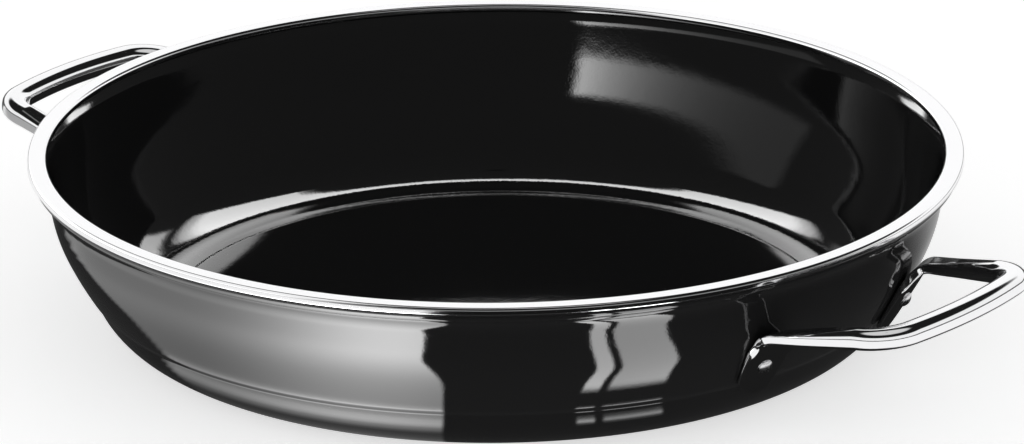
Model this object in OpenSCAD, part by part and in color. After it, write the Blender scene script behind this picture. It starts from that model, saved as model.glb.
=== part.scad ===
// Enamelled steel serving pan: a wide shallow bowl with a steel rim pressed over
// its rolled edge, and two steel loop handles whose flattened feet are each held
// to the wall by a headed stud.
// Units are millimetres. Origin: centre of the base, on the table. +X runs out
// through one handle, +Z is up.

/* [Pan body] */
// diameter of the mouth, measured inside the rim
mouth_d = 280; // [240:1:320]
// height from the table to the top of the rim
pan_h = 56; // [53:0.5:66]
// thickness of the enamelled sheet
wall_t = 2; // [1.4:0.1:2.4]
// how far the middle of the base is pressed up
base_lift = 0.8; // [0.4:0.1:1.4]
// width of the flat ring that the pan stands on
foot_ring_w = 3; // [2:0.2:6]
// radius of the corner between base and wall
corner_r = 20.9; // [19:0.1:23]
// slope at the top of the corner, from the table
corner_slope = 62; // [58:1:66]
// length of the plain band under the shoulder
band_len = 4.2; // [3:0.1:5.6]
// how much the wall leans out at the shoulder
shoulder_turn = 17; // [8:1:24]
// slope of the wall at the feet of the handles
seat_slope = 60; // [58:0.5:63]
// length of the wall's slow lower curve
lower_len = 12.5; // [11:0.5:14]
// length of the wall's quicker upper curve
upper_len = 13; // [11:0.5:14]
// slope at the top of the upper curve
upper_slope = 82; // [78:1:86]
// how much the wall flares out under the rim
flare_turn = 30; // [16:1:36]

/* [Rim] */
// radius of the rolled edge that carries the rim
bead_r = 2.1; // [1.8:0.05:2.3]
// width of the steel rim, seen from above
rim_w = 6; // [5.8:0.1:7]
// height of the steel rim's outer face
rim_h = 2.1; // [1.6:0.1:2.6]
// thickness of the rim over the rolled edge
rim_t = 0.8; // [0.5:0.05:1]
// rounding of the rim's upper edges
rim_round = 1; // [0.4:0.1:1.2]
// play between the rolled edge and the rim
rim_gap = 0.15; // [0.05:0.01:0.25]

/* [Handles] */
// how far a grip's middle line stands outside the mouth
grip_out = 39.4; // [34:0.2:50]
// height at which a handle's middle plane meets the wall
root_z = 37; // [35:0.5:40]
// upward tilt of a handle
tilt = 7; // [2:0.5:12]
// width of the grip bar
bar_w = 8.4; // [7.4:0.1:9.4]
// thickness of the grip bar
bar_h = 6.2; // [5:0.1:7]
// rounding of the grip bar's edges
bar_round = 2.2; // [1.2:0.1:2.4]
// radius of the grip's slight bow
bow_r = 155; // [130:1:200]
// half of the angle that the bow covers
bow_half = 9.5; // [8:0.25:10]
// radius of the two front corners, on the bar's middle line
bend_r = 12; // [10:0.5:14]
// angle by which each arm spreads towards the pan
arm_splay = 6.8; // [4:0.2:8]

/* [Feet of the handles] */
// thickness of the flattened strap
strap_t = 2.7; // [2:0.1:3.2]
// width of a foot under the arm
foot_w = 15; // [13:0.5:17]
// width of a foot at its lower edge
foot_tip_w = 10.4; // [9:0.2:13]
// height of a foot's lower edge above the table
foot_low = 12.8; // [12:0.2:16]
// rounding of a foot's lower corners
foot_round = 4; // [2:0.5:5]
// radius inside the strap's bend
strap_bend = 6; // [5:0.5:8]
// convex rounding at a foot's upper inner corner
neck_outer = 3; // [1.5:0.5:4]
// play between a foot and the wall
seat_gap = 0.12; // [0.05:0.01:0.2]

/* [Studs] */
// diameter of a stud
stud_d = 3.2; // [2.6:0.1:3.8]
// diameter of a stud's domed head
head_d = 5; // [4.4:0.1:6]
// height of the dome
head_h = 1.5; // [1:0.1:2]
// height of the studs above the table
stud_z = 25; // [23:0.2:26]
// play between a stud and its hole
stud_gap = 0.05; // [0.02:0.01:0.15]

/* [Hidden] */
$fn = 96;
mouth_r = mouth_d / 2;

// A profile is walked as pieces, each [length, turn to the left in degrees].
function rad(a) = a * PI / 180;
function dir(a) = [cos(a), sin(a)];
function left(a) = [-sin(a), cos(a)];
function move(piece, a) =
    let(len = piece[0], turn = piece[1])
    abs(turn) < 0.01 ? len * dir(a) : len / rad(turn) * (left(a) - left(a + turn));
function part_of(piece, f) = [piece[0] * f, piece[1] * f];
function turned(path, n, a) = n == 0 ? a : turned(path, n - 1, a) + path[n - 1][1];
function reached(path, n, from, a) =
    n == 0 ? from : reached(path, n - 1, from, a) + move(path[n - 1], turned(path, n - 1, a));
function steps(piece) = abs(piece[1]) < 0.01 ? 1 : max(2, ceil(abs(piece[1]) / 6));
// points of the walk, shifted to its left by off
function walk(path, from, a, off) =
    [for (n = [0 : len(path) - 1])
        let(p = reached(path, n, from, a), h = turned(path, n, a), m = steps(path[n]))
        for (k = [0 : m - 1])
            let(bit = part_of(path[n], k / m))
            p + move(bit, h) + off * left(h + bit[1]),
     reached(path, len(path), from, a) + off * left(turned(path, len(path), a))];
// arc of radius r that rounds the corner q between p and s, turning left
function unit(v) = v / norm(v);
function rounded(p, q, s, r) =
    let(a = unit(p - q), b = unit(s - q), half = acos(a * b) / 2,
        c = q + r / sin(half) * unit(a + b),
        from = atan2(q[1] + a[1] * r / tan(half) - c[1], q[0] + a[0] * r / tan(half) - c[0]))
        [for (k = [0 : 12]) c + r * dir(from + k / 12 * (180 - 2 * half))];
function reversed(list) = [for (n = [len(list) - 1 : -1 : 0]) list[n]];
function strip(path, from, a, off_a, off_b) =
    concat(walk(path, from, a, off_a), reversed(walk(path, from, a, off_b)));

// The sheet's outer face, from the edge of the raised middle to the rolled edge
lip_turn = 20;
lip_len = 1.4;
edge_len = 2.4;
step_turn = 30;
step_len = base_lift / 2 * rad(step_turn) / (1 - cos(step_turn));
wall_start = corner_slope + 3 - shoulder_turn;
shoulder_back = seat_slope - 2 - wall_start;
low_slope = seat_slope - 2;
mid_slope = low_slope + 7;
below = [[step_len, -step_turn],
         [step_len, step_turn],
         [foot_ring_w, 0],
         [corner_r * rad(corner_slope), corner_slope],
         [band_len, 3],
         [1, -shoulder_turn],
         [1.2, 0],
         [1.2, shoulder_back],
         [lower_len, mid_slope - low_slope],
         [upper_len, upper_slope - mid_slope]];
above = [[4.6, -flare_turn],
         [lip_len, lip_turn],
         [edge_len, 0]];
bead_z = pan_h - rim_t - rim_gap - bead_r;
bead_x = mouth_r + rim_w / 2;
rise_below = reached(below, len(below), [0, base_lift], 0);
rise_above = reached(above, len(above), [0, 0], upper_slope);
upright = (bead_z - rise_below[1] - rise_above[1]) / sin(upper_slope);
shell = concat(below, [[upright, 0]], above);
disc_r = bead_x - reached(shell, len(shell), [0, 0], 0)[0];
shell_start = [disc_r, base_lift];

// Where the strap of a foot touches the wall, on the slow lower curve
seat_piece = 8;
seat_share = (seat_slope - low_slope) / (mid_slope - low_slope);
seat = reached(shell, seat_piece, shell_start, 0)
    + move(part_of(shell[seat_piece], seat_share), low_slope);
seat_out = -left(seat_slope);

// Plan of one half of the loop, in the handle's own tilted plane
root_r = mouth_r - 3;
grip_reach = mouth_r + grip_out;
grip_x = (grip_reach - root_r) / cos(tilt);
bow_x = grip_x - bow_r;
bend_c = [bow_x, 0] + (bow_r - bend_r) * dir(bow_half);
arm_tip = bend_c + bend_r * dir(90 - arm_splay);
arm_root_v = arm_tip[1] + arm_tip[0] * tan(arm_splay);
// bow and arms lap a little over the bends and are that much thicker
lap = 0.4;
lap_step = 0.1;
lap_turn = lap / bow_r * 180 / PI;

// Side view of the strap at the middle of a foot
foot_out_v = arm_root_v + bar_w / 2 / cos(arm_splay);
foot_in_v = foot_out_v - foot_w;
foot_tip_out = foot_in_v + foot_tip_w;
foot_mid_v = foot_in_v + (foot_w + foot_tip_w) / 4;
foot_az = asin(foot_mid_v / seat[0]);
arm_slope = atan(tan(tilt) * cos(foot_az));
strap_low = seat + seat_gap * seat_out + (foot_low - seat[1]) / sin(seat_slope) * dir(seat_slope);
bend_turn = seat_slope - arm_slope;
bend_piece = [(strap_bend + strap_t) * rad(bend_turn), -bend_turn];
bend_end = strap_low + move(bend_piece, seat_slope) - strap_t / 2 * left(arm_slope);
root_point = [root_r / cos(foot_az), root_z - (bar_h - strap_t) / 2];
strap_len = (root_point - bend_end) * left(arm_slope) / (dir(seat_slope) * left(arm_slope));
strap_path = [[strap_len, 0], bend_piece, [8, 0]];
strap_top = bend_end + strap_len * dir(seat_slope);
neck_x = (strap_top[0] * cos(foot_az) - root_r) / cos(tilt) - 3;
strap_end_x = neck_x + 6;

pan_body();
rim_ring();
handle_right();
handle_left();
stud_right_front();
stud_right_back();
stud_left_front();
stud_left_back();

// One sheet: raised middle, foot ring, corner, band, shoulder, wall and rolled edge
module pan_body() {
    color([0.09, 0.09, 0.1])
    rotate_extrude() {
        translate([0, base_lift])
            square([disc_r, wall_t]);
        polygon(strip(shell, shell_start, 0, 0, wall_t));
        translate([bead_x, bead_z])
            circle(r = bead_r, $fn = 32);
    }
}

// Steel channel pressed over the rolled edge
module rim_ring() {
    color([0.86, 0.86, 0.87])
    rotate_extrude()
        difference() {
            translate([mouth_r, pan_h - rim_h])
                rim_outline();
            translate([bead_x, bead_z])
                circle(r = bead_r + rim_gap, $fn = 32);
        }
}

module rim_outline() {
    square([rim_w, rim_h - rim_round]);
    translate([rim_round, 0])
        square([rim_w - 2 * rim_round, rim_h]);
    for (x = [rim_round, rim_w - rim_round])
        translate([x, rim_h - rim_round])
            circle(r = rim_round, $fn = 24);
}

module handle_right() {
    color([0.8, 0.8, 0.81])
    handle();
}

module handle_left() {
    color([0.8, 0.8, 0.81])
    rotate(180)
        handle();
}

module handle() {
    tilted() {
        translate([bow_x, 0])
            rotate(-bow_half - lap_turn)
                rotate_extrude(angle = 2 * (bow_half + lap_turn), $fn = 720)
                    translate([bow_r, 0])
                        bar_section(bar_w + lap_step, bar_h + lap_step, bar_round);
        both_sides() {
            front_bend();
            arm();
        }
    }
    both_sides()
        foot();
}

module tilted() {
    translate([root_r, 0, root_z])
        rotate([0, -tilt, 0])
            children();
}

module both_sides() {
    children();
    mirror([0, 1, 0])
        children();
}

module front_bend() {
    translate(bend_c)
        rotate(bow_half)
            rotate_extrude(angle = 90 - arm_splay - bow_half)
                translate([bend_r, 0])
                    bar_section(bar_w, bar_h, bar_round);
}

// The arm keeps the grip bar's section and is planed from above to the strap's thickness
module arm() {
    arm_len = (arm_tip[0] - strap_end_x) / cos(arm_splay);
    under = -bar_h / 2 - 0.2;
    thick = bar_h / 2 + 0.3;
    thin = strap_t - bar_h / 2 + 0.1;
    ends = [-1, arm_len + 3];
    top = [for (s = ends) thick - s * (thick - thin) / arm_len];
    translate(bend_c)
        rotate(90 - arm_splay)
            intersection() {
                translate([bend_r, -lap])
                    rotate([-90, 0, 0])
                        linear_extrude(arm_len + 3)
                            bar_section(bar_w + lap_step, bar_h + lap_step, bar_round);
                rotate([90, 0, 90])
                    linear_extrude(bend_r + bar_w)
                        polygon([[ends[0], under], [ends[1], under],
                                 [ends[1], top[1]], [ends[0], top[0]]]);
            }
}

module bar_section(w, h, r) {
    square([w, h - 2 * r], center = true);
    square([w - 2 * r, h], center = true);
    for (x = [-1, 1])
        for (y = [-1, 1])
            translate([x * (w / 2 - r), y * (h / 2 - r)])
                circle(r = r, $fn = 48);
}

// The strap bent down against the wall, trimmed in plan and from the front
module foot() {
    difference() {
        intersection() {
            rotate_extrude(angle = 30, $fn = 240)
                polygon(strip(strap_path, strap_low, seat_slope, 0, -strap_t));
            tilted()
                linear_extrude(2 * pan_h, center = true)
                    foot_plan();
            rotate([90, 0, 90])
                linear_extrude(grip_reach)
                    foot_front();
        }
        at_stud()
            translate([0, 0, -1])
                cylinder(d = stud_d + 2 * stud_gap, h = strap_t + 2, $fn = 48);
    }
}

// Seen from above: foot width at the wall, arm width further out
module foot_plan() {
    arm_side = bar_w / 2 / cos(arm_splay);
    arm_in = arm_root_v - arm_side - neck_x * tan(arm_splay);
    inner_r = arm_in - foot_in_v - neck_outer;
    far = strap_end_x + 3;
    translate([-root_r, foot_in_v])
        square([root_r + neck_x - neck_outer, foot_w]);
    translate([-root_r, foot_in_v + neck_outer])
        square([root_r + neck_x, foot_w - neck_outer]);
    translate([neck_x - neck_outer, foot_in_v + neck_outer])
        circle(r = neck_outer, $fn = 48);
    difference() {
        translate([neck_x - 1, foot_in_v + neck_outer])
            square([inner_r + 1, inner_r + 1]);
        translate([neck_x + inner_r, foot_in_v + neck_outer])
            circle(r = inner_r, $fn = 48);
    }
    polygon([[neck_x - 2, arm_in],
             [neck_x, arm_in],
             [far, arm_root_v - arm_side - far * tan(arm_splay)],
             [far, arm_root_v + arm_side - far * tan(arm_splay)],
             [0, arm_root_v + arm_side],
             [neck_x - 2, arm_in]]);
}

// Seen along the handle: narrower at the lower edge, with rounded corners
module foot_front() {
    high = root_z - foot_low;
    out = [foot_out_v, root_z];
    tip_out = [foot_tip_out, foot_low];
    tip_in = [foot_in_v, foot_low];
    top = pan_h / high;
    polygon(concat(
        [[foot_in_v, pan_h]],
        rounded([foot_in_v, pan_h], tip_in, tip_out, foot_round),
        rounded(tip_in, tip_out, out, foot_round),
        [tip_out + top * (out - tip_out)]));
}

// Moves a piece drawn up +Z from the wall's face to a stud's place and direction
module at_stud() {
    p = seat + (stud_z - seat[1]) / sin(seat_slope) * dir(seat_slope) + seat_gap * seat_out;
    rotate(foot_az)
        translate([p[0], 0, p[1]])
            rotate([0, 180 - seat_slope, 0])
                children();
}

module stud() {
    color([0.78, 0.78, 0.79])
    at_stud() {
        cylinder(d = stud_d, h = strap_t + 0.2, $fn = 48);
        translate([0, 0, strap_t + 0.02])
            stud_head();
    }
}

// A cap of a sphere over a thin straight edge
module stud_head() {
    edge = 0.3;
    rise = head_h - edge;
    cap_r = (head_d * head_d / 4 + rise * rise) / (2 * rise);
    cylinder(d = head_d, h = edge, $fn = 48);
    translate([0, 0, edge])
        intersection() {
            cylinder(d = head_d, h = rise, $fn = 48);
            translate([0, 0, rise - cap_r])
                sphere(r = cap_r, $fn = 96);
        }
}

module stud_right_back() {
    stud();
}

module stud_right_front() {
    mirror([0, 1, 0])
        stud();
}

module stud_left_front() {
    rotate(180)
        stud();
}

module stud_left_back() {
    rotate(180)
        mirror([0, 1, 0])
            stud();
}
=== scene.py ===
import math

import bpy
import numpy as np
from mathutils import Matrix


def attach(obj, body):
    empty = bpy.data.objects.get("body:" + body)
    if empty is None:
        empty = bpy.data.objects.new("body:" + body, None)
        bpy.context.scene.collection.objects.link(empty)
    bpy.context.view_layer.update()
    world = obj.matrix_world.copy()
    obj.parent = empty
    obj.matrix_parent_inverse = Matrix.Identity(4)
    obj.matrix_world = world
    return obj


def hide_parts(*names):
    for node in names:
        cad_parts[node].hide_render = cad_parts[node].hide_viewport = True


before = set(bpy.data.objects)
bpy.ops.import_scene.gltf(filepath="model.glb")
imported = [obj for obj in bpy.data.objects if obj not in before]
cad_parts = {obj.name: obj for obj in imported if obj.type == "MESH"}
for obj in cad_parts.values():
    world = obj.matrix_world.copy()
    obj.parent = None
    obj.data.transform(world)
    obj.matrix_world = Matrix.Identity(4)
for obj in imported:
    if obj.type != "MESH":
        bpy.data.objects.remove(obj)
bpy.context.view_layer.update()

# Sizes of the pan in millimetres and degrees. The shapes are worked out in millimetres, and add_piece turns
# them to metres.
MM = 0.001
MOUTH_R = 140.0
PAN_H = 56.0
WALL_T = 2.0
BASE_LIFT = 0.8
FOOT_RING_W = 3.0
CORNER_R = 20.9
CORNER_SLOPE = 62.0
BAND_LEN = 4.2
BAND_TURN = 3.0
SHOULDER_TURN = 17.0
SEAT_SLOPE = 60.0
LOWER_LEN = 12.5
UPPER_LEN = 13.0
UPPER_SLOPE = 82.0
FLARE_LEN = 4.6
FLARE_TURN = 30.0

# The inside wall: its slope at the corner's end and then at each height, the height that the corner stays
# below, the length of the lip's first stretch and the angle on the rolled edge where the lip ends
INNER_SLOPES = [60.0, 61.5, 64.0, 68.5, 72.0, 75.3, 76.5]
INNER_HEIGHTS = [20.0, 26.0, 31.0, 35.0, 41.0, 50.3]
INNER_CORNER_Z = 14.0
LIP_LEN = 1.4
LIP_END = 150.0

BEAD_R = 2.1
RIM_W = 6.0
RIM_H = 2.1
RIM_T = 0.8
RIM_ROUND = 1.0
RIM_EDGE_ROUND = 0.25
RIM_GAP = 0.15

GRIP_REACH = 179.4
ROOT_INSET = 3.0
ROOT_Z = 37.0
TILT = 7.0
BAR_W = 8.4
BAR_H = 6.2
BAR_ROUND = 2.2
BAR_TOP_ROUND = 3.0
BOW_R = 155.0
BOW_HALF = 9.5
BEND_R = 12.0
ARM_SPLAY = 6.8

STRAP_T = 2.7
STRAP_LEAD = 14.0
STRAP_BEND = 6.0
STRAP_ROUND = 0.55
FOOT_LOW = 12.8
FOOT_ROUND = 4.0
FOOT_OUTER_ROUND = 5.6
FOOT_W = 15.0
FOOT_TIP_W = 10.4
SEAT_GAP = 0.12

STUD_D = 3.2
STUD_Z = 25.0
STUD_LIFT = 0.02
HEAD_D = 5.0
HEAD_H = 1.5
HEAD_EDGE = 0.3
HEAD_ROUND = 0.12

# How finely the shapes are cut: steps round the pan and a stud, a profile's longest step and its largest
# turn in one step, and the least angle of a sharp edge
PAN_STEPS = 400
STUD_STEPS = 48
WALL_STEP = 1.3
STRAP_STEP = 0.45
TURN_STEP = 2.6
SHARP = 35.0

# Points in the pan's profile, in the rim's, in a stud's dome and in a bar's section, and rings along a handle
INNER_POINTS = 40
LIP_POINTS = 9
ROLL_POINTS = 24
MIDDLE_POINTS = 5
RIM_POINTS = 14
RIM_EDGE_POINTS = 6
DOME_POINTS = 12
CORNER_POINTS = 7
FLAT_POINTS = 7
SIDE_POINTS = 2
BOW_RINGS = 26
BEND_RINGS = 40
ARM_RINGS = 26


def sin_deg(a):
    """Sine of an angle in degrees."""
    return math.sin(math.radians(a))


def cos_deg(a):
    """Cosine of an angle in degrees."""
    return math.cos(math.radians(a))


def tan_deg(a):
    """Tangent of an angle in degrees."""
    return math.tan(math.radians(a))


def heading(a):
    """Unit vectors at angles a in degrees: (cos a, sin a)."""
    a = np.radians(a)
    return np.stack([np.cos(a), np.sin(a)], axis=-1)


def left_of(a):
    """Unit vectors a quarter turn to the left of heading a: (-sin a, cos a)."""
    a = np.radians(a)
    return np.stack([-np.sin(a), np.cos(a)], axis=-1)


def arc(centre, radius, first, last, count):
    """Points of an arc: centre + radius (cos a, sin a) at count angles a from first to last."""
    return np.asarray(centre) + radius * heading(np.linspace(first, last, count))


def smooth(t):
    """Smooth step 3t^2 - 2t^3 of t kept between 0 and 1."""
    t = np.clip(t, 0.0, 1.0)
    return t * t * (3.0 - 2.0 * t)


def walk(pieces, start, first, step=WALL_STEP):
    """A profile walked as pieces [length, turn to the left]: position is the integral of (cos h, sin h) along
    the length, with heading h growing evenly by the piece's turn. Returns points and headings."""
    points = [np.array([start], float)]
    headings = [np.array([first], float)]
    for length, turn in pieces:
        count = max(2, math.ceil(max(length / step, abs(turn) / TURN_STEP)))
        f = np.arange(1, count + 1) / count
        h = headings[-1][-1]
        if turn == 0:
            moved = np.outer(length * f, heading(h))
        else:
            moved = length / math.radians(turn) * (left_of(h) - left_of(h + turn * f))
        points.append(points[-1][-1] + moved)
        headings.append(h + turn * f)
    return np.concatenate(points), np.concatenate(headings)


def shell_path():
    """The sheet's outer face from the edge of the raised middle to the rolled edge: the S-shaped step, the
    foot ring, the rounded corner, the band, the shoulder, the slow and the quicker wall curve, the upright
    and the flare with its return. The upright's length makes the path end at the bead's centre. Returns its
    points and headings, the bead's centre, the middle's radius and the point where a foot sits."""
    lip_turn = 20.0
    edge_len = 2.4
    step_turn = 30.0
    shoulder_len = 1.0
    ledge_len = 1.2
    seat_turn = 2.0
    lower_turn = 7.0
    step_len = BASE_LIFT / 2 * math.radians(step_turn) / (1 - cos_deg(step_turn))
    wall_start = CORNER_SLOPE + BAND_TURN - SHOULDER_TURN
    low = SEAT_SLOPE - seat_turn
    to_wall = [
        [step_len, -step_turn],
        [step_len, step_turn],
        [FOOT_RING_W, 0],
        [CORNER_R * math.radians(CORNER_SLOPE), CORNER_SLOPE],
        [BAND_LEN, BAND_TURN],
        [shoulder_len, -SHOULDER_TURN],
        [ledge_len, 0],
        [ledge_len, low - wall_start],
    ]
    below = to_wall + [[LOWER_LEN, lower_turn], [UPPER_LEN, UPPER_SLOPE - low - lower_turn]]
    above = [[FLARE_LEN, -FLARE_TURN], [LIP_LEN, lip_turn], [edge_len, 0]]
    bead_z = PAN_H - RIM_T - RIM_GAP - BEAD_R
    up = walk(below, [0, BASE_LIFT], 0)[0][-1]
    top = walk(above, [0, 0], UPPER_SLOPE)[0][-1]
    upright = (bead_z - up[1] - top[1]) / sin_deg(UPPER_SLOPE)
    pieces = below + [[upright, 0]] + above
    bead = np.array([MOUTH_R + RIM_W / 2, bead_z])
    disc_r = bead[0] - walk(pieces, [0, 0], 0)[0][-1][0]
    points, headings = walk(pieces, [disc_r, BASE_LIFT], 0)
    wall_foot = walk(to_wall, [disc_r, BASE_LIFT], 0)[0][-1]
    seat = walk([[LOWER_LEN * seat_turn / lower_turn, seat_turn]], wall_foot, low)[0][-1]
    return points, headings, bead, disc_r, seat


SHELL, SHELL_HEADING, BEAD, DISC_R, SEAT = shell_path()


def add_piece(name, points, faces, material, slot, replaced):
    """A mesh piece from points in millimetres and index faces, smooth but sharp over 35 degrees, riding on
    the one body and standing for its CAD node."""
    mesh = bpy.data.meshes.new(name)
    mesh.from_pydata((points * MM).tolist(), [], faces)
    mesh.validate()
    mesh.materials.append(material)
    mesh.polygons.foreach_set("use_smooth", [True] * len(mesh.polygons))
    mesh.set_sharp_from_angle(angle=math.radians(SHARP))
    mesh.update()
    piece = bpy.data.objects.new(name, mesh)
    bpy.context.scene.collection.objects.link(piece)
    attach(piece, "root")
    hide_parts(replaced)
    return piece


def ring_faces(rings, count, closed=False):
    """Four-sided faces between neighbouring rings of count points each: points k and k + 1 of a ring, then
    k + 1 and k of the next. Where closed, the last ring is joined to the first."""
    i = np.arange(rings if closed else rings - 1)[:, None]
    k = np.arange(count)
    j = (i + 1) % rings
    m = (k + 1) % count
    corners = [i * count + k, i * count + m, j * count + m, j * count + k]
    return np.stack(corners, axis=-1).reshape(-1, 4)


def revolve(profile, count, closed):
    """Turns a profile (r, z) about Z: point (r cos t, r sin t, z) at count angles t. A closed profile joins
    its last point to its first; an open one is closed at both ends with a fan to the axis."""
    around = heading(np.linspace(0, 360, count, endpoint=False))
    flat = profile[:, None, :1] * around
    height = np.repeat(profile[:, None, 1:], count, axis=1)
    points = np.concatenate([flat, height], axis=-1).reshape(-1, 3)
    faces = ring_faces(len(profile), count, closed).tolist()
    if not closed:
        first = len(points)
        points = np.vstack([points, [0, 0, profile[0, 1]], [0, 0, profile[-1, 1]]])
        k = np.arange(count)
        m = (k + 1) % count
        faces += np.stack([np.full(count, first), m, k], axis=-1).tolist()
        faces += np.stack([np.full(count, first + 1), first - count + k, first - count + m], axis=-1).tolist()
    return points, faces


def inner_wall(start):
    """The inner face above the corner: dr/dz = 1 / tan(slope), where the slope grows smoothly with height
    from the corner to nearly upright, so that no shoulder shows inside. A short lip leads to the rolled
    edge, as the curve (1 - f)^2 a + 2 f (1 - f) b + f^2 c of three points."""
    z = np.linspace(start[1], INNER_HEIGHTS[-1], INNER_POINTS)
    slope = np.interp(z, [start[1]] + INNER_HEIGHTS, INNER_SLOPES)
    for _ in range(3):
        slope[1:-1] = slope[1:-1] / 2 + (slope[:-2] + slope[2:]) / 4
    steps = np.diff(z) / np.tan(np.radians((slope[1:] + slope[:-1]) / 2))
    r = start[0] + np.concatenate([[0], np.cumsum(steps)])
    wall = np.stack([r, z], axis=-1)
    end = BEAD + BEAD_R * heading(LIP_END)
    knee = wall[-1] + LIP_LEN * heading(slope[-1])
    f = np.linspace(0, 1, LIP_POINTS)[1:, None]
    lip = (1 - f) ** 2 * wall[-1] + 2 * f * (1 - f) * knee + f ** 2 * end
    return np.vstack([wall, lip])


def pan_profile():
    """The enamelled sheet's section from the axis under the base, up its outer face, round the rolled edge
    and down its inner face back to the axis."""
    bead_zone = BEAD_R + 0.05
    clear = np.linalg.norm(SHELL - BEAD, axis=1) > bead_zone
    inner = SHELL + WALL_T * left_of(SHELL_HEADING)
    corner = inner[(inner[:, 1] < INNER_CORNER_Z) & (SHELL_HEADING <= INNER_SLOPES[0])]
    inside = np.vstack([corner[:-1], inner_wall(corner[-1])])
    roll = arc(BEAD, BEAD_R, SHELL_HEADING[-1] + 180, LIP_END + 360, ROLL_POINTS)
    axis_gap = 2.0
    step_gap = 1.0
    middle_r = np.linspace(axis_gap, DISC_R - step_gap, MIDDLE_POINTS)
    under = np.stack([middle_r, np.full_like(middle_r, BASE_LIFT)], axis=-1)
    floor_in = under[::-1] + [0, WALL_T]
    return np.vstack([under, SHELL[clear], roll, inside[-2::-1], floor_in])


def rim_profile():
    """The steel rim's section: a flat-topped channel with rounded upper edges and a round groove that sits
    on the rolled edge."""
    low = PAN_H - RIM_H + RIM_EDGE_ROUND
    high = PAN_H - RIM_ROUND
    outer = MOUTH_R + RIM_W
    groove_r = BEAD_R + RIM_GAP
    groove_a = math.degrees(math.asin((PAN_H - RIM_H - BEAD[1]) / groove_r))
    return np.vstack([
        arc((outer - RIM_EDGE_ROUND, low), RIM_EDGE_ROUND, -90, 0, RIM_EDGE_POINTS),
        arc((outer - RIM_ROUND, high), RIM_ROUND, 0, 90, RIM_POINTS),
        arc((MOUTH_R + RIM_ROUND, high), RIM_ROUND, 90, 180, RIM_POINTS),
        arc((MOUTH_R + RIM_EDGE_ROUND, low), RIM_EDGE_ROUND, 180, 270, RIM_EDGE_POINTS),
        arc(BEAD, groove_r, 180 - groove_a, groove_a, ROLL_POINTS),
    ])


# The loop handle's tilted plane: x runs outwards, v across, and the third way is the plane's normal
TILT_X = np.array([cos_deg(TILT), 0.0, sin_deg(TILT)])
TILT_V = np.array([0.0, 1.0, 0.0])
TILT_N = np.array([-sin_deg(TILT), 0.0, cos_deg(TILT)])
ROOT_R = MOUTH_R - ROOT_INSET
ROOT = np.array([ROOT_R, 0.0, ROOT_Z])
GRIP_X = (GRIP_REACH - ROOT_R) / cos_deg(TILT)
BOW_C = np.array([GRIP_X - BOW_R, 0.0])
BEND_C = BOW_C + (BOW_R - BEND_R) * heading(BOW_HALF)
BEND_END = 90 - ARM_SPLAY
ARM_TIP = BEND_C + BEND_R * heading(BEND_END)
ARM_BACK = heading(180 - ARM_SPLAY)
FOOT_OUT = ARM_TIP[1] + ARM_TIP[0] * tan_deg(ARM_SPLAY) + BAR_W / 2 / cos_deg(ARM_SPLAY)
FOOT_IN = FOOT_OUT - FOOT_W
FOOT_AZ = math.degrees(math.asin((FOOT_IN + (FOOT_W + FOOT_TIP_W) / 4) / SEAT[0]))


def strap_side():
    """The strap's middle line in the upright plane at the foot's azimuth: it comes in along the arm's slope,
    turns down through a round bend and runs along the wall's slope. Returns points (r, z) from the arm to
    the foot's lower end, the slope at each, and the bend's length."""
    slope = math.degrees(math.atan(tan_deg(TILT) * cos_deg(FOOT_AZ)))
    drop = (BAR_H - STRAP_T) / 2
    root = np.array([ROOT_R / cos_deg(FOOT_AZ), ROOT_Z]) - drop * left_of(slope)
    wall = SEAT - (SEAT_GAP + STRAP_T / 2) * left_of(SEAT_SLOPE)
    arm_way = heading(slope)
    wall_way = heading(SEAT_SLOPE)
    corner = root + np.linalg.solve(np.stack([arm_way, -wall_way], axis=1), wall - root)[0] * arm_way
    turn = SEAT_SLOPE - slope
    bend_r = STRAP_BEND + STRAP_T / 2
    bend_len = bend_r * math.radians(turn)
    tangent = bend_r * tan_deg(turn / 2)
    start = corner + (tangent + STRAP_LEAD) * arm_way
    foot_drop = (corner - tangent * wall_way)[1] - FOOT_LOW - STRAP_T / 2 * cos_deg(SEAT_SLOPE)
    pieces = [[STRAP_LEAD, 0], [bend_len, turn], [foot_drop / sin_deg(SEAT_SLOPE), 0]]
    points, headings = walk(pieces, start, slope + 180, STRAP_STEP)
    return points, headings - 180, bend_len


STRAP, STRAP_SLOPE, STRAP_BEND_LEN = strap_side()
STRAP_RUN = np.concatenate([[0], np.cumsum(np.linalg.norm(np.diff(STRAP, axis=0), axis=1))])
STRAP_LEN = STRAP_RUN[-1]
NECK_X = (STRAP[0, 0] * cos_deg(FOOT_AZ) - ROOT_R) / cos_deg(TILT)
ARM_LEN = (ARM_TIP[0] - NECK_X) / cos_deg(ARM_SPLAY)

# The foot's lower end: how long it is, how far its last rings lie from its edge, closer and closer so that
# its corners are round, and half the thickness that is left at the edge
TIP_ZONE = 2.6
TIP_HALF_T = 0.3
TIP_STOPS = np.array([2.3, 1.8, 1.4, 1.1, 0.9, 0.72, 0.56, 0.42, 0.3, 0.2, 0.12, 0.06, 0.02, 0.0])


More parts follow.
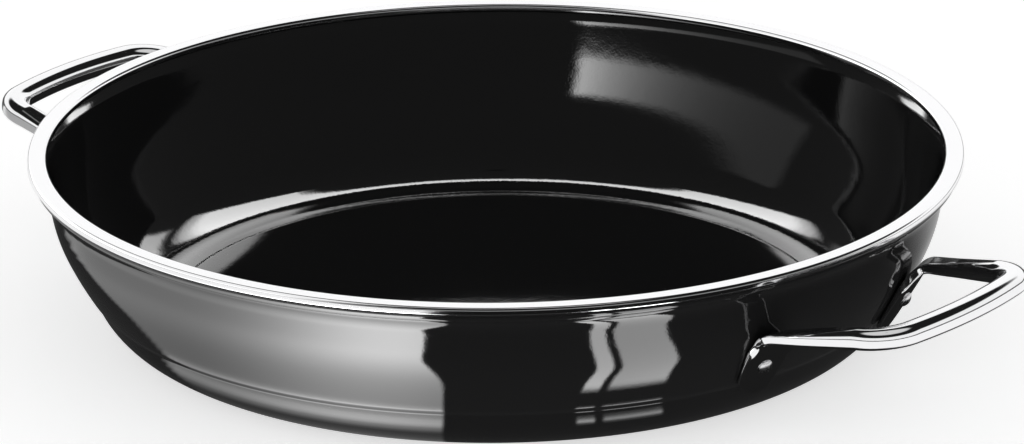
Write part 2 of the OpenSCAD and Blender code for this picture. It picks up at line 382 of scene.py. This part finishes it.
def rounded_section(half_out, half_in, half_t, r_top, r_low):
    """Offsets (b, n) round a rounded rectangle that reaches from -half_in to half_out across and half_t
    up and down, with its own corner radius above and below; always the same number of points."""
    most = 0.999 * min(half_t, (half_out + half_in) / 2)
    r_top = min(r_top, most)
    r_low = min(r_low, most)
    arcs = [
        arc((half_out - r_top, half_t - r_top), r_top, 0, 90, CORNER_POINTS),
        arc((r_top - half_in, half_t - r_top), r_top, 90, 180, CORNER_POINTS),
        arc((r_low - half_in, r_low - half_t), r_low, 180, 270, CORNER_POINTS),
        arc((half_out - r_low, r_low - half_t), r_low, 270, 360, CORNER_POINTS),
    ]
    parts = []
    for k, count in enumerate((FLAT_POINTS, SIDE_POINTS, FLAT_POINTS, SIDE_POINTS)):
        end = arcs[k][-1]
        ahead = arcs[(k + 1) % 4][0]
        f = np.linspace(0, 1, count + 2)[1:-1, None]
        parts += [arcs[k], end + f * (ahead - end)]
    return np.concatenate(parts)


def plane_ring(centre, a, shape, up=0.0):
    """A section ring in the tilted plane: its offsets (b, n) lie along heading a and the plane's normal, from
    the point centre of the plane, raised by up along the normal."""
    out = heading(a)
    across = out[0] * TILT_X + out[1] * TILT_V
    middle = ROOT + centre[0] * TILT_X + centre[1] * TILT_V + up * TILT_N
    return middle + shape[:, :1] * across + shape[:, 1:] * TILT_N


def arm_shape(x):
    """Half thickness, rise and the two corner radii of the arm at x: it thins evenly from the bend to the
    strap, and its underside stays flat."""
    thin_x = -1.0
    thick_x = ARM_TIP[0] - 1.5
    t = min(max((x - thin_x) / (thick_x - thin_x), 0.0), 1.0)
    half_t = STRAP_T / 2 + t * (BAR_H - STRAP_T) / 2
    r_top = STRAP_ROUND + t * (BAR_TOP_ROUND - STRAP_ROUND)
    r_low = STRAP_ROUND + t * (BAR_ROUND - STRAP_ROUND)
    return half_t, half_t - BAR_H / 2, r_top, r_low


def corner_cut(e, radius):
    """How far a round corner draws an edge in at distance e from the end: R - sqrt(R^2 - (R - e)^2), and
    nothing once e is past R."""
    return radius - math.sqrt(radius ** 2 - max(radius - e, 0.0) ** 2)


def foot_width(s, z, arm_v):
    """The strap's middle v, and its reach outwards and inwards from it, at distance s along its line and
    height z: the bar's width at first, then the foot's, whose outer edge draws in with the square of the
    depth, less the round cuts of the two lower corners."""
    widen_start = STRAP_LEAD + 0.3 * STRAP_BEND_LEN
    widen_len = STRAP_BEND_LEN + 2.0
    widen = smooth((s - widen_start) / widen_len)
    depth = (ROOT_Z - z) / (ROOT_Z - FOOT_LOW)
    v_out = FOOT_OUT - (FOOT_W - FOOT_TIP_W) * depth ** 2
    middle = (1 - widen) * arm_v + widen * (v_out + FOOT_IN) / 2
    out = (1 - widen) * BAR_W / 2 + widen * (v_out - middle)
    inwards = (1 - widen) * BAR_W / 2 + widen * (middle - FOOT_IN)
    rise = (STRAP_LEN - s) * sin_deg(SEAT_SLOPE)
    return middle, out - corner_cut(rise, FOOT_OUTER_ROUND), inwards - corner_cut(rise, FOOT_ROUND)


def strap_ring(s):
    """The section ring at distance s along the strap: it follows the circle about the pan's axis, where x is
    the root of r^2 - v^2, and over the lead it is blended with the ring that lies in the tilted plane."""
    middle = np.array([np.interp(s, STRAP_RUN, STRAP[:, 0]), np.interp(s, STRAP_RUN, STRAP[:, 1])])
    arm_c = ARM_TIP + (ARM_LEN + s) * ARM_BACK
    half_t, up, r_top, r_low = arm_shape(max(arm_c[0], 0.0))
    lift = half_t - STRAP_T / 2
    round_by = STRAP_LEN - 4.0
    rounder = smooth((s - STRAP_LEAD) / (round_by - STRAP_LEAD))
    r_top += (STRAP_T / 2 - r_top) * rounder
    r_low += (STRAP_T / 2 - r_low) * rounder
    half_t = max(half_t - corner_cut(STRAP_LEN - s, STRAP_ROUND), TIP_HALF_T)
    v_c, out, inwards = foot_width(s, middle[1], arm_c[1])
    shape = rounded_section(out, inwards, half_t, r_top, r_low)
    v = v_c + shape[:, 0]
    rz = middle + (lift + shape[:, 1:]) * left_of(np.interp(s, STRAP_RUN, STRAP_SLOPE))
    strap = np.stack([np.sqrt(rz[:, 0] ** 2 - v ** 2), v, rz[:, 1]], axis=1)
    blend_len = STRAP_LEAD - 1.0
    share = smooth(s / blend_len)
    return (1 - share) * plane_ring(arm_c, BEND_END, shape, up) + share * strap


def handle_half():
    """Section rings of one half of a handle from the grip's middle to a foot's lower end: the bow, the bend
    and the thinning arm lie in the tilted plane, and the strap comes after them."""
    bar = rounded_section(BAR_W / 2, BAR_W / 2, BAR_H / 2, BAR_TOP_ROUND, BAR_ROUND)
    rings = []
    for a in np.linspace(0, BOW_HALF, BOW_RINGS)[:-1]:
        rings.append(plane_ring(BOW_C + BOW_R * heading(a), a, bar))
    for a in np.linspace(BOW_HALF, BEND_END, BEND_RINGS)[:-1]:
        rings.append(plane_ring(BEND_C + BEND_R * heading(a), a, bar))
    for s in np.linspace(0, ARM_LEN, ARM_RINGS)[:-1]:
        centre = ARM_TIP + s * ARM_BACK
        half_t, up, r_top, r_low = arm_shape(centre[0])
        shape = rounded_section(BAR_W / 2, BAR_W / 2, half_t, r_top, r_low)
        rings.append(plane_ring(centre, BEND_END, shape, up))
    stops = np.concatenate([STRAP_RUN[STRAP_RUN < STRAP_LEN - TIP_ZONE], STRAP_LEN - TIP_STOPS])
    return np.array(rings + [strap_ring(s) for s in stops])


def handle_mesh(turn):
    """Both halves joined at the grip's middle, capped at the two lower ends and turned about Z."""
    half = handle_half()
    other = half[:0:-1] * [1, -1, 1]
    rings = np.concatenate([other, half])
    n = rings.shape[1]
    points = rings.reshape(-1, 3)
    faces = ring_faces(len(rings), n)[:, [0, 3, 2, 1]].tolist()
    faces.append(list(range(n)))
    faces.append(list(range(len(points) - 1, len(points) - n - 1, -1)))
    c = math.cos(turn)
    s = math.sin(turn)
    return points @ np.array([[c, s, 0], [-s, c, 0], [0, 0, 1]]), faces


def stud_mesh(sign, turn):
    """A stud's domed head on a short shank: a cap of a sphere over a thin edge, turned about its own axis,
    then laid on the foot's face at the foot's middle azimuth, on the side that sign gives."""
    head_r = HEAD_D / 2
    brim_z = STRAP_T + STUD_LIFT
    rise = HEAD_H - HEAD_EDGE
    dome_r = (head_r ** 2 + rise ** 2) / (2 * rise)
    dome_half = math.degrees(math.asin(head_r / dome_r))
    shank_and_brim = [
        (0.2 * STUD_D, STUD_LIFT),
        (STUD_D / 2, STUD_LIFT),
        (STUD_D / 2, STRAP_T),
        (head_r - HEAD_ROUND, brim_z),
        (head_r - 0.3 * HEAD_ROUND, brim_z + 0.25 * HEAD_ROUND),
        (head_r, brim_z + HEAD_ROUND),
    ]
    axis_gap = 4
    dome_c = (0, STRAP_T + HEAD_H - dome_r)
    dome = arc(dome_c, dome_r, 90 - dome_half, 90 - axis_gap, DOME_POINTS)
    points, faces = revolve(np.vstack([shank_and_brim, dome]), STUD_STEPS, False)
    up_wall = (STUD_Z - SEAT[1]) / sin_deg(SEAT_SLOPE)
    r, z = SEAT + up_wall * heading(SEAT_SLOPE) - SEAT_GAP * left_of(SEAT_SLOPE)
    round_pan = Matrix.Rotation(turn + sign * math.radians(FOOT_AZ), 4, "Z")
    lean = Matrix.Rotation(math.radians(180 - SEAT_SLOPE), 4, "Y")
    lay = np.array(round_pan @ Matrix.Translation((r, 0, z)) @ lean)
    return points @ lay[:3, :3].T + lay[:3, 3], faces


class Finish:
    """A material and short ways to add and link its nodes. Patterns lie on object coordinates."""

    def __init__(self, name):
        self.material = bpy.data.materials.new(name)
        self.material.use_nodes = True
        self.tree = self.material.node_tree
        self.shader = self.tree.nodes["Principled BSDF"]

    def add(self, kind, **values):
        """A node of a kind, with values for its inputs or its own settings."""
        node = self.tree.nodes.new(kind)
        for key, value in values.items():
            if key in node.inputs:
                node.inputs[key].default_value = value
            else:
                setattr(node, key, value)
        return node

    def link(self, a, b):
        """Joins output a to input b."""
        self.tree.links.new(a, b)

    def set(self, **values):
        """Values of the main shader's inputs, named with an underscore for each space."""
        for key, value in values.items():
            self.shader.inputs[key.replace("_", " ")].default_value = value

    def noise(self, scale, detail, rough=0.55):
        """Cloudy noise from 0 to 1, with scale clouds to the metre."""
        place = self.add("ShaderNodeTexCoord").outputs["Object"]
        n = self.add("ShaderNodeTexNoise", Scale=scale, Detail=detail, Roughness=rough)
        self.link(place, n.inputs["Vector"])
        return n.outputs["Fac"]

    def uneven_gloss(self, scale, low, high, rough_low, rough_high):
        """Roughness that runs from rough_low to rough_high as the noise runs from low to high."""
        n = self.add("ShaderNodeMapRange")
        n.inputs["From Min"].default_value = low
        n.inputs["From Max"].default_value = high
        n.inputs["To Min"].default_value = rough_low
        n.inputs["To Max"].default_value = rough_high
        self.link(self.noise(scale, detail=4), n.inputs["Value"])
        self.link(n.outputs["Result"], self.shader.inputs["Roughness"])

    def bump(self, height, distance, under=None):
        """Bump of a height pattern, on top of another bump where one is given."""
        n = self.add("ShaderNodeBump", Strength=1.0, Distance=distance)
        self.link(height, n.inputs["Height"])
        if under is not None:
            self.link(under, n.inputs["Normal"])
        return n.outputs["Normal"]


def enamel_finish():
    """Black vitreous enamel: a deep gloss with faint orange peel, fine grain and a little uneven gloss."""
    m = Finish("black_enamel_gloss")
    m.set(Base_Color=(0.011, 0.011, 0.0112, 1), IOR=1.52)
    m.uneven_gloss(scale=38, low=0.35, high=0.7, rough_low=0.03, rough_high=0.06)
    peel = m.bump(m.noise(scale=260, detail=2), distance=0.000016)
    grain = m.bump(m.noise(scale=1500, detail=2), distance=0.000007, under=peel)
    m.link(grain, m.shader.inputs["Normal"])
    return m.material


def steel_finish(name, tone, gloss, depth):
    """Polished steel: a bright metal with soft polishing marks of a depth in metres and uneven gloss, whose
    roughness runs between the two values of gloss."""
    m = Finish(name)
    m.set(Base_Color=(tone, tone, tone * 1.01, 1), Metallic=1.0)
    m.uneven_gloss(scale=120, low=0.3, high=0.7, rough_low=gloss[0], rough_high=gloss[1])
    marks = m.bump(m.noise(scale=500, detail=3, rough=0.6), distance=depth)
    m.link(marks, m.shader.inputs["Normal"])
    return m.material


enamel = enamel_finish()
rim_steel = steel_finish("rim_steel_polished", tone=0.86, gloss=(0.07, 0.12), depth=0.000004)
handle_steel = steel_finish("handle_steel_polished", tone=0.84, gloss=(0.05, 0.09), depth=0.000005)
stud_steel = steel_finish("stud_steel_tumbled", tone=0.72, gloss=(0.22, 0.32), depth=0.000008)

pan_mesh = revolve(pan_profile(), PAN_STEPS, False)
rim_mesh = revolve(rim_profile(), PAN_STEPS, True)
pan = add_piece("pan_enamel", *pan_mesh, enamel, "black_enamel", "pan_body")
rim = add_piece("steel_rim", *rim_mesh, rim_steel, "rim_steel", "rim_ring")

SIDE_TURNS = {"right": 0.0, "left": math.pi}
STUD_SIGNS = {"right_back": 1, "right_front": -1, "left_front": 1, "left_back": -1}
grips = []
for side, turn in SIDE_TURNS.items():
    mesh = handle_mesh(turn)
    grips.append(add_piece(f"loop_handle_{side}", *mesh, handle_steel, "handle_steel", f"handle_{side}"))
for end, sign in STUD_SIGNS.items():
    mesh = stud_mesh(sign, SIDE_TURNS[end.split("_")[0]])
    grips.append(add_piece(f"stud_head_{end}", *mesh, stud_steel, "stud_steel", f"stud_{end}"))

# The photograph's camera, as it was fitted: turn, rise and roll in degrees, focal length in the photograph's
# pixels, then its distance, and the mouth's centre from the picture's middle, in radii of the mouth
PHOTO_W = 1024
FOCAL = 7000
SENSOR_W = 36
VIEW_TURN = 38.7
VIEW_RISE = 19.89
VIEW_ROLL = -0.426
VIEW_AWAY = 15.601
MOUTH_RIGHT = -0.0362
MOUTH_UP = 0.1730

UP = np.array([0.0, 0.0, 1.0])
TO_RIGHT = np.array([cos_deg(VIEW_TURN), sin_deg(VIEW_TURN), 0.0])
TO_FRONT = np.array([sin_deg(VIEW_TURN), -cos_deg(VIEW_TURN), 0.0])


def photo_camera():
    """The scene's camera, which sees the pan as the photograph does."""
    back = TO_FRONT * cos_deg(VIEW_RISE) + UP * sin_deg(VIEW_RISE)
    level_up = np.cross(back, TO_RIGHT)
    right = TO_RIGHT * cos_deg(VIEW_ROLL) + level_up * sin_deg(VIEW_ROLL)
    up = level_up * cos_deg(VIEW_ROLL) - TO_RIGHT * sin_deg(VIEW_ROLL)
    place = PAN_H * UP + MOUTH_R * (VIEW_AWAY * back - MOUTH_RIGHT * right - MOUTH_UP * up)
    lens = bpy.data.cameras.new("camera")
    lens.sensor_width = SENSOR_W
    lens.lens = SENSOR_W * FOCAL / PHOTO_W
    lens.clip_start = 0.1
    lens.clip_end = 60
    camera = bpy.data.objects.new("camera", lens)
    turned = np.stack([right, up, back, place * MM], axis=1)
    camera.matrix_world = Matrix(np.vstack([turned, [0, 0, 0, 1]]).tolist())
    bpy.context.scene.collection.objects.link(camera)
    bpy.context.scene.camera = camera


def pale_floor():
    """A wide, matt, nearly white floor at height 0, which glows a little and isn't mirrored."""
    far = 9
    mesh = bpy.data.meshes.new("floor")
    mesh.from_pydata([(-far, -far, 0), (far, -far, 0), (far, far, 0), (-far, far, 0)], [], [(0, 1, 2, 3)])
    m = Finish("floor_paint")
    m.set(Base_Color=(0.9, 0.9, 0.9, 1), Roughness=0.8, Specular_IOR_Level=0.0)
    m.set(Emission_Color=(1, 1, 1, 1), Emission_Strength=0.66)
    mesh.materials.append(m.material)
    floor = bpy.data.objects.new("floor", mesh)
    floor.visible_glossy = False
    bpy.context.scene.collection.objects.link(floor)


def even_sky():
    """Soft white light from all around, which isn't mirrored."""
    world = bpy.data.worlds.new("studio")
    bpy.context.scene.world = world
    world.use_nodes = True
    background = world.node_tree.nodes["Background"]
    background.inputs["Color"].default_value = (1, 1, 1, 1)
    background.inputs["Strength"].default_value = 0.4
    world.cycles_visibility.glossy = False


# What the enamel and the steel mirror: soft boxes and screens round the pan, and lit and unlit floor beside
# it. Bearings are in degrees from the photograph's viewpoint and grow to its right, heights are in degrees
# above the floor, and distances r from the pan's axis are in millimetres. SCREEN is a pale screen's lower and
# upper height and the width of its soft edges. STRAY and PAN_STRAY are the faint light between the others.
SCREEN = (6, 31, 3)
STRAY = 0.012
PAN_STRAY = 0.10


def plateau(x, low, high, edge):
    """One between low and high, with smooth falls of width edge centred on both."""
    return smooth((x - low) / edge + 0.5) * smooth((high - x) / edge + 0.5)


def bell(x, middle, width):
    """The bell curve exp(-((x - middle) / width)^2)."""
    return np.exp(-((x - middle) / width) ** 2)


def pan_light(bearing, height):
    """Brightness of the soft boxes that the pan mirrors: a pale backdrop, a box at the front left that dims
    away from its right end, a long box over the back, brighter above, a box at the back right and two low
    ones at the back corners."""
    away = np.abs(bearing)
    from_right = bearing + 360 * (bearing < -60)
    backdrop = 1.1 * plateau(away, 150, 400, 10) * plateau(height, *SCREEN)
    front_left = plateau(bearing, -96, -23, 3) * plateau(height, 12, 30, 4)
    front_left = front_left * (0.25 + 8.5 * np.exp((bearing + 24) / 13))
    over = (5 + 6 * smooth((height - 38) / 4)) * plateau(from_right, 121, 229, 3)
    over = over * plateau(height - 6 * smooth((away - 150) / 20), 36, 61, 2)
    back_right = 4.5 * plateau(bearing, 132, 162, 4) * plateau(height, 18, 31, 3)
    low = 7 * plateau(away, 130, 142, 3) * plateau(height, 5, 13, 2)
    return PAN_STRAY + backdrop + front_left + over + back_right + low


def rim_light(bearing, height):
    """Brightness round the rim: a pale screen that is dimmer in front, a tall light on the left and a high
    light over the back."""
    away = np.abs(bearing)
    screen = (0.25 + 0.85 * smooth((away - 80) / 40)) * plateau(height, *SCREEN)
    tall = plateau(bearing, -150, -45, 20) * plateau(height, 4, 72, 4)
    high = 0.7 * smooth((away - 60) / 60) * smooth((height - 70) / 8)
    return STRAY + screen + tall + high


def handle_light(bearing, height):
    """Brightness round the handles: a pale screen all around and a dimmer light overhead."""
    screen = (1.0 + 0.1 * smooth((np.abs(bearing) - 100) / 50)) * plateau(height, *SCREEN)
    return STRAY + screen + 0.7 * smooth((height - 58) / 8)


def pan_floor_light(bearing, r):
    """Brightness of the floor as the pan and its rim mirror it. Near the pan it is unlit in front, lit on the
    left up to a straight edge, with two slim strips on the right and a lit stretch behind; further out it is
    pale on the left and far right."""
    away = np.abs(bearing)
    # fall is painted shade on the mirrored floor: nearly dark under and close to the pan, brightening
    # outwards, with a thin brighter band near r 129 added below
    fall = 0.015 + 0.23 * smooth((r - 121) / 7) + 0.75 * smooth((r - 130) / 52)
    fall = fall + 0.2 * plateau(r, 127, 131, 3)

    edge = -8.1 - 3.9 * smooth((r - 140) / 35)
    # shadow is the bearing of a painted shadow of the pan, a dark stripe cut out of the lit floor on the left
    shadow = -68 - 0.76 * (r - 134)
    left = 11 * bell(bearing, -17, 20) + 0.75 + 1.7 * smooth((95 + bearing) / 55)
    left = left * smooth((edge - bearing) / 0.8 + 0.5) * (1 - plateau(bearing, shadow - 28, shadow + 5, 3))
    left = left * fall * smooth((150 + bearing) / 30)

    shifted = bearing + 3.7 * (1 - smooth((r - 130) / 28))
    strips = 7 * plateau(shifted, 15.6, 18.3, 0.6) + 5 * plateau(shifted, 19.7, 29, 0.8)
    strips = strips * (plateau(r, 139.5, 400, 4) + 0.6 * plateau(r, 127.3, 129.8, 1.2))

    rear = 0.5 * smooth((away - 110) / 40) + 0.5 * plateau(bearing, 95, 150, 30)
    rear = rear + 5 * bell(away, 157, 9) * fall

    near = left + strips + rear + 0.04
    far = 0.008 + smooth((-10 - bearing) / 4) + smooth((bearing - 76) / 8)
    return near + (far - near) * smooth((r - 205) / 40)


def handle_floor_light(bearing, r):
    """Brightness of the floor as the handles and studs mirror it: pale, and darker close to the pan, at the
    far left and further out behind."""
    inner = 190 - 54 * plateau(bearing, -25, 30, 20)
    pale = 1.05 * smooth((r - inner) / 10) * (1 - 0.6 * plateau(bearing, -125, -75, 20))
    behind = smooth((np.abs(bearing) - 128) / 6) * smooth((r - 210) / 20)
    return STRAY + pale * (1 - 0.9 * behind)


def glow_paint(name):
    """A finish that shines as its points' glow says and lets every ray through."""
    m = Finish(name)
    glow = m.add("ShaderNodeAttribute", attribute_name="glow")
    shine = m.add("ShaderNodeEmission")
    clear = m.add("ShaderNodeBsdfTransparent")
    both = m.add("ShaderNodeAddShader")
    m.link(glow.outputs["Fac"], shine.inputs["Strength"])
    m.link(shine.outputs["Emission"], both.inputs[0])
    m.link(clear.outputs["BSDF"], both.inputs[1])
    m.link(both.outputs["Shader"], m.tree.nodes["Material Output"].inputs["Surface"])
    m.tree.nodes.remove(m.shader)
    m.material.cycles.emission_sampling = "NONE"
    return m.material


def glow_sheet(name, points, glow, lit):
    """A sheet of rings of points that is as bright as glow says at each. Only mirror rays meet it, and only
    the pieces in lit mirror it."""
    mesh = bpy.data.meshes.new(name)
    mesh.from_pydata(points.reshape(-1, 3).tolist(), [], ring_faces(*glow.shape).tolist())
    mesh.attributes.new("glow", "FLOAT", "POINT").data.foreach_set("value", glow.ravel())
    mesh.materials.append(glow_paint(name))
    sheet = bpy.data.objects.new(name, mesh)
    for way in ("camera", "diffuse", "transmission", "volume_scatter", "shadow"):
        setattr(sheet, f"visible_{way}", False)
    bpy.context.scene.collection.objects.link(sheet)
    mirrors = bpy.data.collections.new(f"{name}_mirrors")
    for piece in lit:
        mirrors.objects.link(piece)
    sheet.light_linking.receiver_collection = mirrors


def over_floor(bearing):
    """Level unit vectors at bearings b: cos b towards the photograph's viewpoint, sin b to its right."""
    way = heading(bearing)
    return way[..., :1] * TO_FRONT + way[..., 1:] * TO_RIGHT


def light_dome(name, light, radius, lit):
    """A dome of lights round the pan: its point at bearing b and height h lies radius metres out, cos h along
    the floor and sin h up."""
    bearing, height = np.meshgrid(np.arange(-180, 180, 1.5), np.arange(-3, 90, 1.5))
    rise = heading(height)
    points = radius * (rise[..., :1] * over_floor(bearing) + rise[..., 1:] * UP)
    glow_sheet(name, points, light(bearing, height), lit)


def light_floor(name, light, depth, lit):
    """A level sheet of lit floor, depth metres under the floor's height, with finer steps in bearing in front
    and in distance under the wall."""
    around = np.concatenate([np.arange(-180, -30, 1.5), np.arange(-30, 36, 0.25), np.arange(36, 180, 1.5)])
    near = np.concatenate([np.arange(60, 100, 8), np.arange(100, 170, 1.5), np.arange(170, 280, 6)])
    bearing, r = np.meshgrid(around, np.concatenate([near, [400, 800, 1600, 4200]]))
    points = over_floor(bearing) * r[..., None] * MM - depth * UP
    glow_sheet(name, points, light(bearing, r), lit)


photo_camera()
pale_floor()
even_sky()
light_dome("pan_lights", pan_light, 4.0, [pan])
light_dome("rim_lights", rim_light, 4.1, [rim])
light_dome("handle_lights", handle_light, 4.2, grips)
light_floor("pan_floor", pan_floor_light, 0.0003, [pan, rim])
light_floor("handle_floor", handle_floor_light, 0.0005, grips)

bpy.context.scene.view_settings.view_transform = "Standard"
